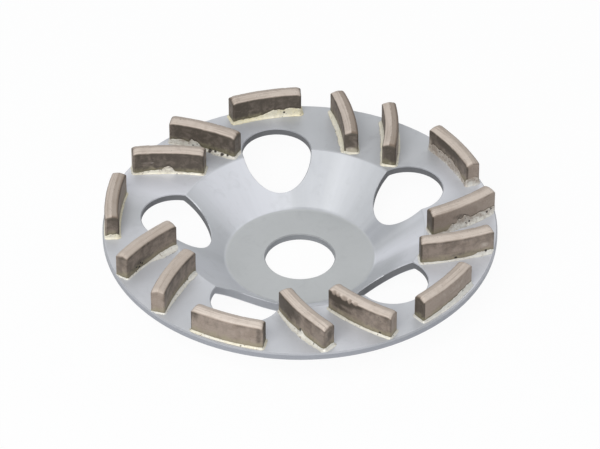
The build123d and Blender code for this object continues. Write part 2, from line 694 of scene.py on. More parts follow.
    @staticmethod
    def kept(sheet: NodeSheet, value: bpy.types.NodeSocket, full: float) -> bpy.types.NodeSocket:
        """Maps 0 to 0 and full to 1 in a straight line, kept between them.

        Args:
            sheet: The material's node tree.
            value: The value to map.
            full: The value that becomes 1.

        Returns:
            The mapped value.
        """
        node = sheet.add("MapRange")
        sheet.join(value, node.inputs["Value"])
        node.inputs["From Max"].default_value = full
        return node.outputs["Result"]


@dataclass(frozen=True)
class SinteredMetal(Finish):
    """Pressed and sintered metal powder with diamond grit: brown-grey, dull and grainy."""

    name: str = "sintered_metal"
    roughness: float = 0.60
    metallic: float = 0.20
    body: Colour = rgb(0.290, 0.236, 0.196)
    light: Colour = rgb(0.405, 0.340, 0.292)
    soot: Colour = rgb(0.064, 0.052, 0.040)
    brown: Colour = rgb(0.160, 0.116, 0.084)
    powder: Colour = rgb(0.68, 0.605, 0.53)
    top: Colour = rgb(0.600, 0.523, 0.460)
    top_pale: Colour = rgb(0.72, 0.650, 0.590)
    top_dark: Colour = rgb(0.27, 0.212, 0.168)
    glaze: Colour = rgb(0.30, 0.28, 0.165)
    pit: Colour = rgb(0.028, 0.023, 0.020)
    grain_scale: float = 2600.0
    grain_depth: float = 0.09 * MM
    press_pitch: tuple[float, float, float] = (70.0, 500.0, 1100.0)
    drip_pitch: tuple[float, float, float] = (620.0, 620.0, 150.0)
    rub_pitch: tuple[float, float] = (60.0, 2100.0)
    cloud_scale: float = 420.0
    glaze_from: float = 3.2 * MM
    glaze_full: float = 0.9 * MM
    glaze_ragged: float = 0.8 * MM

    def paint(self, sheet: NodeSheet, shader: bpy.types.Node) -> None:
        """Makes a pale rubbed top, and walls with pressing lines, drips, soot, powder, glaze and pits.

        Args:
            sheet: The material's node tree.
            shader: The material's shader.
        """
        place = self.where(sheet)
        local = sheet.parts(sheet.carried(Field.LOCAL).outputs["Vector"])
        grain = SinterGrain().place(sheet, Vector=place, Scale=self.grain_scale, Pore_Share=0.5)
        lift = sheet.spread(grain["Speckle"], 0.36, 0.64)
        colour = self.pressed_face(sheet, place, local, lift)
        # On the roofs these values also carry the painted shade of one facet.
        soot = sheet.carried(Field.SOOT).outputs["Fac"]
        colour = self.burnt(sheet, place, local, soot, colour)

        facing = sheet.add("NewGeometry")
        upward = sheet.spread(sheet.parts(facing.outputs["Normal"])["Z"], 0.50, 0.85)
        along, across = self.rub_pitch
        strokes = sheet.vector(sheet.times(local["X"], along), sheet.times(local["Y"], across), 0.0)
        rubbed = sheet.noise(strokes, 1.0, 4.0, 0.65)
        tops = self.rubbed_top(sheet, place, soot, lift, rubbed)
        colour = sheet.blend(upward, colour, tops)

        wear = EdgeWear().place(sheet, Vector=place, Radius=0.40 * MM, Breakup=1300.0, Amount=0.45)
        worn = sheet.times(wear["Mask"], sheet.spread(soot, 0.2, 0.8, 1.0, 0.25))
        colour = sheet.blend(worn, colour, self.powder)
        colour = sheet.blend(grain["Pores"], colour, self.pit)
        pits = sheet.carried(Field.PIT).outputs["Fac"]
        colour = sheet.blend(sheet.spread(pits, 0.25, 0.75), colour, self.pit)
        sheet.join(colour, shader.inputs["Base Color"])

        rough = sheet.spread(grain["Speckle"], 0.3, 0.7, self.roughness - 0.08, self.roughness + 0.12)
        sheet.join(rough, shader.inputs["Roughness"])
        height = sheet.math("ADD", grain["Height"], sheet.times(rubbed, 0.35))
        self.bump(sheet, shader, height, self.grain_depth, 0.7)

    def pressed_face(self, sheet: NodeSheet, place: bpy.types.NodeSocket, local: bpy.types.NodeOutputs,
                     lift: bpy.types.NodeSocket) -> bpy.types.NodeSocket:
        """Makes the clean sintered face: grain, pressing lines, blotches and drips.

        Args:
            sheet: The material's node tree.
            place: The place on the object.
            local: The place along, across and up the segment.
            lift: Where the grain is lighter.

        Returns:
            The colour of the face.
        """
        colour = sheet.blend(sheet.times(lift, 0.55), self.body, self.light)
        pressed = sheet.noise(self.drawn(sheet, local, self.press_pitch), 1.0, 4.0, 0.6)
        colour = sheet.blend(sheet.spread(pressed, 0.52, 0.74, 0.0, 0.26), colour, self.brown)
        blotch = Stain().place(sheet, Vector=place, Scale=210.0, Low=0.46, High=0.70)["Mask"]
        colour = sheet.blend(sheet.times(blotch, 0.34), colour, self.brown)
        drips = sheet.noise(self.drawn(sheet, local, self.drip_pitch), 1.0, 3.0, 0.6)
        return sheet.blend(sheet.spread(drips, 0.60, 0.76, 0.0, 0.30), colour, self.brown)

    def burnt(self, sheet: NodeSheet, place: bpy.types.NodeSocket, local: bpy.types.NodeOutputs,
              soot: bpy.types.NodeSocket, colour: bpy.types.NodeSocket) -> bpy.types.NodeSocket:
        """Lays soot, pale powder and flux glaze on the face, each with a ragged edge.

        Args:
            sheet: The material's node tree.
            place: The place on the object.
            local: The place along, across and up the segment.
            soot: How sooty the mesh says it is.
            colour: The colour of the clean face.

        Returns:
            The colour of the face.
        """
        cloud = sheet.noise(place, self.cloud_scale, 5.0, 0.62, 0.5)
        reach = sheet.math("ADD", soot, sheet.spread(cloud, 0.3, 0.7, -0.16, 0.16))
        sooty = sheet.times(sheet.spread(reach, 0.05, 0.95), sheet.spread(soot, 0.0, 0.12))
        colour = sheet.blend(sheet.times(sooty, 0.93), colour, self.soot)
        pale = sheet.carried(Field.PALE).outputs["Fac"]
        dusty = sheet.math("ADD", pale, sheet.spread(cloud, 0.3, 0.7, -0.16, 0.16))
        dusty = sheet.times(sheet.spread(dusty, 0.25, 0.80), sheet.spread(pale, 0.0, 0.15))
        colour = sheet.blend(sheet.times(dusty, 0.8), colour, self.powder)
        ragged = sheet.spread(cloud, 0.3, 0.7, -self.glaze_ragged, self.glaze_ragged)
        low = sheet.math("ADD", local["Z"], ragged)
        glazed = sheet.spread(low, self.glaze_from, self.glaze_full, 0.0, 0.40)
        return sheet.blend(glazed, colour, self.glaze)

    def rubbed_top(self, sheet: NodeSheet, place: bpy.types.NodeSocket, soot: bpy.types.NodeSocket,
                   lift: bpy.types.NodeSocket, rubbed: bpy.types.NodeSocket) -> bpy.types.NodeSocket:
        """Makes the pale top with rubbing strokes, patches, soot and the painted shade of one facet.

        Args:
            sheet: The material's node tree.
            place: The place on the object.
            soot: How sooty the mesh says it is, with painted shade on one roof facet.
            lift: Where the grain is lighter.
            rubbed: The noise of the strokes along the segment.

        Returns:
            The colour of the top.
        """
        tops = sheet.blend(sheet.times(lift, 0.5), self.top, self.top_pale)
        tops = sheet.blend(sheet.spread(rubbed, 0.48, 0.70, 0.0, 0.55), tops, self.top_dark)
        patch = Stain().place(sheet, Vector=place, Scale=330.0, Low=0.48, High=0.72)["Mask"]
        tops = sheet.blend(sheet.times(patch, 0.22), tops, self.top_dark)
        # Soot and the painted shade of one facet darken the top.
        tops = sheet.blend(sheet.times(soot, 0.85), tops, self.top_dark)
        return sheet.blend(sheet.spread(soot, 0.50, 0.88, 0.0, 0.85), tops, self.brown)

    @staticmethod
    def drawn(sheet: NodeSheet, local: bpy.types.NodeOutputs,
              pitch: tuple[float, float, float]) -> bpy.types.NodeSocket:
        """Stretches the place on the segment for a noise that is drawn out one way.

        Args:
            sheet: The material's node tree.
            local: The place along, across and up the segment.
            pitch: The noise's scale in these three ways.

        Returns:
            The vector to read the noise at.
        """
        along, across, up = pitch
        return sheet.vector(sheet.times(local["X"], along), sheet.times(local["Y"], across),
                            sheet.times(local["Z"], up))


@dataclass(frozen=True)
class PaleBraze(Finish):
    """Silver braze that has run out at the foot: pale, yellowish, pitted and stained with flux."""

    name: str = "pale_braze"
    roughness: float = 0.50
    metallic: float = 0.25
    silver: Colour = rgb(0.635, 0.625, 0.590)
    yellow: Colour = rgb(0.76, 0.690, 0.460)
    flux: Colour = rgb(0.29, 0.232, 0.188)
    fleck: Colour = rgb(0.84, 0.83, 0.77)
    pit: Colour = rgb(0.05, 0.042, 0.035)
    tint_scale: float = 110.0
    cloud_scale: float = 520.0
    grain_scale: float = 1500.0
    speck_scale: float = 1150.0
    grain_depth: float = 0.15 * MM

    def paint(self, sheet: NodeSheet, shader: bpy.types.Node) -> None:
        """Mixes silver and yellow, lays burnt flux, flecks and specks on them and darkens the pits.

        Args:
            sheet: The material's node tree.
            shader: The material's shader.
        """
        place = self.where(sheet)
        tint = Stain().place(sheet, Vector=place, Scale=self.tint_scale, Low=0.30, High=0.62)["Mask"]
        golden = sheet.carried(Field.PALE).outputs["Fac"]
        tint = sheet.times(sheet.spread(tint, 0.0, 1.0, 0.55, 1.0), golden)
        colour = sheet.blend(tint, self.silver, self.yellow)
        cloud = sheet.noise(place, self.cloud_scale, 5.0, 0.62, 0.5)
        soot = sheet.carried(Field.SOOT).outputs["Fac"]
        reach = sheet.math("ADD", soot, sheet.spread(cloud, 0.3, 0.7, -0.30, 0.30))
        stained = sheet.times(sheet.spread(reach, 0.15, 0.85), sheet.spread(soot, 0.0, 0.12))
        colour = sheet.blend(sheet.times(stained, 0.9), colour, self.flux)
        grain = SinterGrain().place(sheet, Vector=place, Scale=self.grain_scale, Pore_Share=1.0)
        lift = sheet.spread(grain["Speckle"], 0.40, 0.66)
        colour = sheet.blend(sheet.times(lift, 0.38), colour, self.fleck)
        specks = Stain().place(sheet, Vector=place, Scale=self.speck_scale, Low=0.60, High=0.68)["Mask"]
        colour = sheet.blend(sheet.times(specks, 0.75), colour, self.flux)
        colour = sheet.blend(grain["Pores"], colour, self.pit)
        pits = sheet.carried(Field.PIT).outputs["Fac"]
        colour = sheet.blend(sheet.spread(pits, 0.25, 0.75), colour, self.pit)
        sheet.join(colour, shader.inputs["Base Color"])
        rough = sheet.spread(grain["Speckle"], 0.3, 0.7, self.roughness + 0.12, self.roughness - 0.08)
        sheet.join(rough, shader.inputs["Roughness"])
        self.bump(sheet, shader, grain["Height"], self.grain_depth, 0.8)


@dataclass(frozen=True)
class Station:
    """Where a segment stands: angle round the wheel and lean in degrees, radius in metres."""

    angle: float
    radius: float
    lean: float

    def carry(self, along: float, across: float, up: float) -> Vector:
        """Takes a point from the segment's own axes to the wheel's.

        Args:
            along: Distance outwards along the segment.
            across: Distance to the left of that.
            up: Height over the rim.

        Returns:
            The point on the wheel.
        """
        place = math.radians(self.angle)
        turn = math.radians(self.angle + self.lean)
        return Vector((
            self.radius * math.cos(place) + along * math.cos(turn) - across * math.sin(turn),
            self.radius * math.sin(place) + along * math.sin(turn) + across * math.cos(turn),
            RIM_TOP + up,
        ))


@dataclass
class RimPlan:
    """How the segments are laid out on the rim, as on the solid wheel."""

    fifths: int = 5
    leading: Station = Station(2.2, 51.05 * MM, 29.8)
    edge: Station = Station(31.2, 59.0 * MM, 90.0)
    trailing: Station = Station(54.8, 51.4 * MM, 32.6)
    errors: tuple[tuple[tuple[float, float, float], ...], ...] = (
        ((0.4, 0.2, 0), (1.0, 0.2, -1), (0.2, 0.2, 2)),
        ((-1.5, 0.0, -1), (-2.2, 0.3, 2), (-0.4, 0.1, 0)),
        ((-1.0, 0.2, 4), (-0.6, 0.5, 1), (-0.4, -0.2, -3)),
        ((0.2, 0.0, -3), (0.7, -0.3, 0), (0.8, -0.9, 2)),
        ((1.9, -0.5, 1), (1.0, -0.5, 0), (0.7, -0.2, -1)),
    )

    def stations(self) -> list[Station]:
        """Works out where the fifteen segments stand.

        Returns:
            The places in the order of the nodes' numbers.
        """
        places = []
        for fifth, row in enumerate(self.errors):
            for station, error in zip((self.leading, self.edge, self.trailing), row):
                places.append(Station(
                    station.angle + error[0] + fifth * 360.0 / self.fifths,
                    station.radius + error[1] * MM,
                    station.lean + error[2],
                ))
        return places


@dataclass(frozen=True)
class Step:
    """One step of a walk round a segment's foot, on the bar before it is bowed."""

    along: float
    across: float
    side: Side
    share: float
    run: float


@dataclass
class Outline:
    """The foot of a segment: a short bowed bar with rounded corners."""

    length: float = 23.55 * MM
    width: float = 4.7 * MM
    bend: float = 70.0 * MM
    corner: float = 0.55 * MM
    steps_along: int = 104
    steps_across: int = 20
    steps_corner: int = 5

    def bowed(self, along: float, across: float) -> tuple[float, float]:
        """Bends a point of the straight bar.

        Args:
            along: Distance along the bar's middle line.
            across: Distance from it, towards the bend's centre.

        Returns:
            The point on the bowed bar.
        """
        turn = along / self.bend
        reach = self.bend - across
        return (reach * math.sin(turn), self.bend - reach * math.cos(turn))

    def walk(self, grow: float = 0.0) -> list[Step]:
        """Walks round the bar.

        Args:
            grow: How far outside the bar the walk runs.

        Returns:
            The steps, with the share of each wall counted from its inner end or concave edge.
        """
        half_long = self.length / 2 - self.corner
        half_wide = self.width / 2 - self.corner
        corners = (
            (-half_long, half_wide), (half_long, half_wide),
            (half_long, -half_wide), (-half_long, -half_wide),
        )
        counts = (self.steps_along, self.steps_across, self.steps_along, self.steps_across)
        reach = self.corner + grow
        steps: list[Step] = []
        run = 0.0
        for index, side in enumerate(Side):
            start = math.pi - index * math.pi / 2
            flipped = side in (Side.CONVEX, Side.INNER_END)
            x, y = corners[index]
            for count in range(self.steps_corner):
                turn = start - (count + 0.5) / self.steps_corner * math.pi / 2
                steps.append(Step(x + reach * math.cos(turn), y + reach * math.sin(turn), side,
                                  1.0 if flipped else 0.0, run))
                run += self.corner * math.pi / 2 / self.steps_corner
            ahead_x, ahead_y = corners[(index + 1) % 4]
            turn = start - math.pi / 2
            length = math.hypot(ahead_x - x, ahead_y - y)
            for count in range(counts[index]):
                share = (count + 0.5) / counts[index]
                steps.append(Step(
                    x + (ahead_x - x) * share + reach * math.cos(turn),
                    y + (ahead_y - y) * share + reach * math.sin(turn),
                    side, 1.0 - share if flipped else share, run + length * share,
                ))
            run += length
        return steps

    def girth(self) -> float:
        """Returns the length of a walk round the bar."""
        straight = 2 * (self.length + self.width) - 8 * self.corner
        return straight + 2 * math.pi * self.corner

    def run_of(self, side: Side, share: float) -> float:
        """Returns how far round the walk a place on a wall lies."""
        on_side = (step for step in self.walk() if step.side is side)
        return min(on_side, key=lambda step: abs(step.share - share)).run


@dataclass(frozen=True)
class Climb:
    """Braze that has run up a wall, or out over the rim: place and size along it."""

    side: Side
    where: float
    spread: float
    height: float
    out: float = 0.0


@dataclass(frozen=True)
class Mark:
    """A patch on a wall or bead: its place, its size in millimetres and how strong it is."""

    side: Side
    where: float
    height: float
    wide: float
    tall: float
    strength: float = 1.0


@dataclass(frozen=True)
class SegmentLook:
    """What heat, braze and handling have done to one segment, and the painted shade on its roof.

    Soot, painted shade, golden tint and lines go from 0 to 1. The bead's sizes are in millimetres.
    """

    concave_soot: float = 0.55
    convex_soot: float = 0.15
    inner_soot: float = 0.45
    outer_soot: float = 0.45
    top_soot: float = 0.1
    # Painted shade on the roof's two facets, darker on the one turned away from the light.
    facet_shade: tuple[float, float] = (0.0, 0.75)
    braze_soot: float = 0.2
    golden: float = 0.25
    clean_ends: float = 0.0
    bead_height: float = 0.7
    bead_out: float = 0.5
    line: float = 0.4
    edge_line: float = 0.30
    climbs: tuple[Climb, ...] = ()
    pits: tuple[Mark, ...] = ()
    dark: tuple[Mark, ...] = ()
    pale: tuple[Mark, ...] = ()
    chips: tuple[Mark, ...] = ()


@dataclass
class BrazeLine:
    """How high the braze stands and how far it reaches round one segment's foot."""

    number: int
    look: SegmentLook
    outline: Outline
    least_height: float = 0.35
    least_reach: float = 0.30

    def survey(self, steps: Sequence[Step], places: Sequence[Vector]) -> tuple[list[float], list[float]]:
        """Works out the braze at each step.

        Args:
            steps: The walk round the foot.
            places: The same steps on the wheel, for the noise.

        Returns:
            The height up the wall and the reach over the rim at each step, in metres.
        """
        seed = Vector((self.number * 5.3, 0.0, self.number * 2.9))
        girth = self.outline.girth()
        centres = [(climb, self.outline.run_of(climb.side, climb.where)) for climb in self.look.climbs]
        heights = []
        reaches = []
        for step, place in zip(steps, places):
            slow = noise.noise(place * 170.0 + seed)
            quick = noise.noise(place * 850.0 + seed)
            fine = noise.noise(place * 2400.0 + seed)
            height = self.look.bead_height * (1.0 + 0.40 * slow + 0.22 * quick + 0.10 * fine)
            reach = self.look.bead_out * (1.0 + 0.35 * slow + 0.25 * quick + 0.10 * fine)
            for climb, centre in centres:
                gap = abs(step.run - centre)
                gap = min(gap, girth - gap) / (climb.spread * self.outline.length)
                swell = math.exp(-gap ** 4)
                height += swell * climb.height * (1.0 + 0.22 * quick + 0.10 * fine)
                reach += swell * climb.out * (1.0 + 0.3 * quick)
            heights.append(max(self.least_height, height) * MM)
            reaches.append(max(self.least_reach, reach) * MM)
        return heights, reaches


class MeshPiece:
    """Calls that make a mesh object, clean it and store values on its points."""

    @staticmethod
    def build(name: str, points: Sequence[Vector], faces: Iterable[Sequence[int]],
              material: bpy.types.Material, smooth: bool = True) -> bpy.types.Object:
        """Makes an object from points and faces.

        Args:
            name: The object's name.
            points: Its corners in metres.
            faces: Corner numbers of each face.
            material: Its material.
            smooth: Whether it is shaded smooth.

        Returns:
            The new object, linked to the scene.
        """
        mesh = bpy.data.meshes.new(name)
        mesh.from_pydata([tuple(point) for point in points], [], [tuple(face) for face in faces])
        mesh.materials.append(material)
        made = bpy.data.objects.new(name, mesh)
        bpy.context.collection.objects.link(made)
        MeshPiece.tidy(made, 0.0, smooth)
        return made

    @staticmethod
    def tidy(made: bpy.types.Object, weld: float, smooth: bool) -> None:
        """Welds points that lie together, turns all faces outwards and sets their shading.

        Args:
            made: The object.
            weld: The distance under which points are joined, or 0 for none.
            smooth: Whether it is shaded smooth.
        """
        sheet = bmesh.new()
        sheet.from_mesh(made.data)
        if weld > 0.0:
            bmesh.ops.remove_doubles(sheet, verts=sheet.verts, dist=weld)
        bmesh.ops.recalc_face_normals(sheet, faces=sheet.faces)
        sheet.to_mesh(made.data)
        sheet.free()
        for polygon in made.data.polygons:
            polygon.use_smooth = smooth

    @staticmethod
    def carry(made: bpy.types.Object, which: Field, values: Sequence[object]) -> None:
        """Stores a value for each point on the mesh.

        Args:
            made: The object.
            which: The value's name.
            values: A number or a vector for each point.
        """
        flat = which is not Field.LOCAL
        kind = "FLOAT" if flat else "FLOAT_VECTOR"
        layer = made.data.attributes.new(which.value, kind, "POINT")
        if flat:
            layer.data.foreach_set("value", values)
        else:
            layer.data.foreach_set("vector", [part for value in values for part in value])

    @staticmethod
    def spot(mark: Mark, gap: float, up: float) -> float:
        """Returns how strongly a mark shows at a place.

        Args:
            mark: The mark.
            gap: Distance along the wall from its middle, in metres.
            up: Height over the rim in metres.

        Returns:
            From 0 outside it to its strength at its middle.
        """
        wide = gap / (mark.wide * MM)
        tall = (up / MM - mark.height) / mark.tall
        return mark.strength * math.exp(-(wide * wide + tall * tall) ** 1.5)


@dataclass
class SegmentPart:
    """What a segment and its bead share: their number, place, look and foot."""

    number: int
    station: Station
    look: SegmentLook
    outline: Outline = field(default_factory=Outline)

    def on_wheel(self, step: Step) -> Vector:
        """Returns where a step of a walk round the foot lies on the wheel."""
        return self.station.carry(*self.outline.bowed(step.along, step.across), 0.0)

    def marks(self, chosen: Sequence[Mark]) -> list[tuple[Mark, float]]:
        """Pairs marks with their places round the foot."""
        return [(mark, self.outline.run_of(mark.side, mark.where)) for mark in chosen]

    @staticmethod
    def strongest(marks: Sequence[tuple[Mark, float]], step: Step, up: float) -> float:
        """Finds the mark that shows most at a place.

        Args:
            marks: The marks with their places round the foot.
            step: The step round the foot.
            up: Height over the rim in metres.

        Returns:
            How strongly it shows, or 0 where none does.
        """
        shown = [MeshPiece.spot(mark, step.run - centre, up) for mark, centre in marks]
        return max([0.0] + shown)


@dataclass
class AbrasiveSegment(SegmentPart):
    """One abrasive segment: a bowed bar with a low roof, rubbed ends and chipped edges."""

    film: float = 0.2 * MM
    eave: float = 8.0 * MM
    rise: float = 0.85 * MM
    levels: int = 24
    roof_rings: int = 10
    end_round: float = 1.8 * MM
    end_drop: float = 0.50
    end_flat: float = 0.4
    ridge_round: float = 0.6
    edge_round: float = 0.50 * MM
    grain_depth: float = 0.05 * MM
    sag_depth: float = 0.12 * MM
    pit_depth: float = 0.25 * MM
    chip_reach: float = 0.9 * MM
    rim_line_width: float = 0.35 * MM
    eave_line_width: float = 0.55 * MM
    corner_width: float = 0.45 * MM
    facet_edge_width: float = 0.5 * MM
    tip_width: float = 0.6 * MM
    weld: float = 0.08 * MM
    texture_shift: float = 0.1
    inward_share: float = 0.97
    least_inward: float = 1e-6

    def node(self) -> str:
        """Returns the name of the CAD node that this piece stands for."""
        return f"segment_{self.number:02d}"

    def seed(self) -> Vector:
        """Returns this segment's own place in the noise."""
        return Vector((self.number * 3.1, self.number * 1.7, 0.0))

    def wobble(self, place: Vector) -> float:
        """Works out how far the pressed surface lies inside its true shape.

        Args:
            place: The point on the true shape.

        Returns:
            The depth in metres.
        """
        grain = noise.noise(place * 1400.0 + self.seed()) * 0.5 + 0.5
        sag = noise.noise(place * 190.0 + self.seed()) * 0.5 + 0.5
        return grain * self.grain_depth + sag * self.sag_depth

    def chip(self, step: Step, place: Vector, runs: Sequence[tuple[Mark, float]]) -> float:
        """Works out how far the top edge has broken down.

        Args:
            step: The step round the foot under it.
            place: The same step on the wheel, for the noise.
            runs: The segment's chips with their places round the foot.

        Returns:
            The depth in metres.
        """
        rough = noise.noise(place * 620.0 + self.seed())
        depth = max(0.0, rough - 0.30) * 0.55
        for mark, centre in runs:
            gap = (step.run - centre) / (mark.wide * MM)
            depth += mark.tall * math.exp(-gap ** 4)
        return depth * MM

    def roof(self, along: float, inset: float, chip: float) -> float:
        """Returns the height of the roof over the rim.

        Args:
            along: Distance along the segment from its middle.
            inset: Distance in from the nearest long wall.
            chip: How far the edge has broken down here.

        Returns:
            The height in metres.
        """
        inwards = min(1.0, inset / (self.outline.width / 2))
        slope = self.rise * (inwards + self.ridge_round * inwards * (1.0 - inwards))
        near = max(0.0, 1.0 - inset / self.edge_round)
        edge = self.edge_round * (1.0 - math.sqrt(max(0.0, 1.0 - near * near))) * 0.6
        broken = chip * max(0.0, 1.0 - inset / self.chip_reach)
        past = abs(along) - (self.outline.length / 2 - self.end_round)
        drop = 0.0
        if past > 0.0:
            share = min(1.0, past / self.end_round)
            drop = self.end_round * self.end_drop * (1.0 - math.sqrt(max(0.0, 1.0 - share * share)))
            slope *= 1.0 - self.end_flat * share * share
        return self.eave + slope - drop - edge - broken

    def soot_at(self, step: Step, up: float, climb: float, dark: Sequence[tuple[Mark, float]]) -> float:
        """Returns how sooty the wall is.

        Args:
            step: The step round the foot.
            up: Height over the rim in metres.
            climb: How high the braze stands there.
            dark: The segment's dark patches with their places round the foot.

        Returns:
            From 0 for clean to 1 for black.
        """
        level = {
            Side.CONCAVE: self.look.concave_soot,
            Side.OUTER_END: self.look.outer_soot,
            Side.CONVEX: self.look.convex_soot,
            Side.INNER_END: self.look.inner_soot,
        }[step.side]
        over = (up - climb) / self.rim_line_width
        rim_line = self.look.line * math.exp(-over * over)
        high = 1.1 * level * (1.0 - level) * max(0.0, up / self.eave - 0.45)
        under = (self.eave - up) / self.eave_line_width
        near_end = (self.outline.length / 2 - abs(step.along)) / self.corner_width
        near_wall = (self.outline.width / 2 - abs(step.across)) / self.corner_width
        corner = 0.9 * math.exp(-(near_end * near_end + near_wall * near_wall))
        burnt = max(math.exp(-under * under), corner)
        total = level * 0.82 + high + rim_line + self.look.edge_line * burnt
        for mark, centre in dark:
            total += MeshPiece.spot(mark, step.run - centre, up)
        return max(0.0, min(1.0, total))

    def top_soot_and_shade_at(self, step: Step, inset: float, ending: float) -> float:
        """Returns how dark the roof is: soot, more at its ends, and painted shade on one facet, more at
        its outer edge.

        Args:
            step: The step round the foot under it.
            inset: Distance in from the nearest long wall, in metres.
            ending: Distance in from the nearest end, in metres.

        Returns:
            From 0 for clean to 1 for black.
        """
        facet = self.look.facet_shade[0 if step.across > 0.0 else 1]
        edge = math.exp(-(inset / self.facet_edge_width) ** 2)
        burnt = self.look.outer_soot if step.along > 0.0 else self.look.inner_soot
        tip = math.exp(-(ending / self.tip_width) ** 2)
        return min(1.0, self.look.top_soot + facet * (0.45 + 0.55 * edge) + 0.6 * burnt * tip)

    def worn(self, x: float, y: float, up: float, pit: float, ring: int) -> Vector:
        """Finds a point of the worn surface.

        Args:
            x: Distance along the segment from its middle.
            y: Distance across it from its middle line.
            up: Height of the true shape over the rim.
            pit: How strongly a pit shows there.
            ring: The ring that the point is on, counted from the foot.

        Returns:
            The point on the wheel.
        """
        place = self.station.carry(*self.outline.bowed(x, y), up)
        inward = self.station.carry(*self.outline.bowed(x * self.inward_share, 0.0), up) - place
        if ring == 0:
            place.z = RIM_TOP + self.film
        elif inward.length > self.least_inward:
            depth = self.wobble(place) + pit * self.pit_depth
            place += inward.normalized() * min(depth, inward.length)
        if ring >= self.levels:
            place.z -= self.wobble(place + Vector((0.01, 0.02, 0.0)))
        return place

    @staticmethod
    def shell(count: int, rings: int) -> list[tuple[int, ...]]:
        """Lists the faces between rings of points and the one that closes the foot.

        Args:
            count: How many points a ring has.
            rings: How many rings stand over the first.

        Returns:
            The point numbers of each face.
        """
        faces: list[tuple[int, ...]] = []
        for ring in range(rings):
            for index in range(count):
                ahead = (index + 1) % count
                faces.append((ring * count + index, ring * count + ahead,
                              (ring + 1) * count + ahead, (ring + 1) * count + index))
        faces.append(tuple(reversed(range(count))))
        return faces

    def build(self, material: bpy.types.Material) -> bpy.types.Object:
        """Makes the segment's mesh.

        Args:
            material: The sintered finish.

        Returns:
            The segment, already riding on the root body and named by its number.
        """
        walk = self.outline.walk()
        homes = [self.on_wheel(step) for step in walk]
        climbs, _ = BrazeLine(self.number, self.look, self.outline).survey(walk, homes)
        chips = self.marks(self.look.chips)
        dark = self.marks(self.look.dark)
        pale = self.marks(self.look.pale)
        pits = self.marks(self.look.pits)
        points: list[Vector] = []
        local: list[tuple[float, float, float]] = []
        soots: list[float] = []
        pales: list[float] = []
        pitted: list[float] = []
        rings = self.levels + self.roof_rings
        half_wide = self.outline.width / 2
        for ring in range(rings + 1):
            share = min(1.0, ring / self.levels)
            shrink = max(0.0, (ring - self.levels) / self.roof_rings)
            for index, step in enumerate(walk):
                limit = self.outline.length / 2 - half_wide * shrink
                x = max(-limit, min(limit, step.along))
                y = step.across * (1.0 - shrink)
                chip = self.chip(step, homes[index], chips)
                top = self.roof(x, half_wide - abs(y), chip)
                up = self.film + (top - self.film) * share
                pit = self.strongest(pits, step, up) if shrink == 0.0 else 0.0
                points.append(self.worn(x, y, up, pit, ring))
                local.append((x + self.texture_shift * self.number, y, up))
                if ring > self.levels:
                    ending = self.outline.length / 2 - abs(x)
                    # The roof's values hold soot and the painted shade of one facet.
                    soots.append(self.top_soot_and_shade_at(step, half_wide - abs(y), ending))
                else:
                    soots.append(self.soot_at(step, up, climbs[index], dark))
                pales.append(self.strongest(pale, step, up))
                pitted.append(pit)
        faces = self.shell(len(walk), rings)
        made = MeshPiece.build(f"abrasive_{self.number:02d}", points, faces, material)
        MeshPiece.carry(made, Field.LOCAL, local)
        MeshPiece.carry(made, Field.SOOT, soots)
        MeshPiece.carry(made, Field.PALE, pales)
        MeshPiece.carry(made, Field.PIT, pitted)
        MeshPiece.tidy(made, self.weld, smooth=True)
        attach(made, "root")
        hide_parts(self.node())
        return made


@dataclass(frozen=True)
class BeadFoot:
    """The bead at one step: points on and inside the wall, the way out, its height and its reach."""

    home: Vector
    outward: Vector
    inside: Vector
    height: float
    reach: float


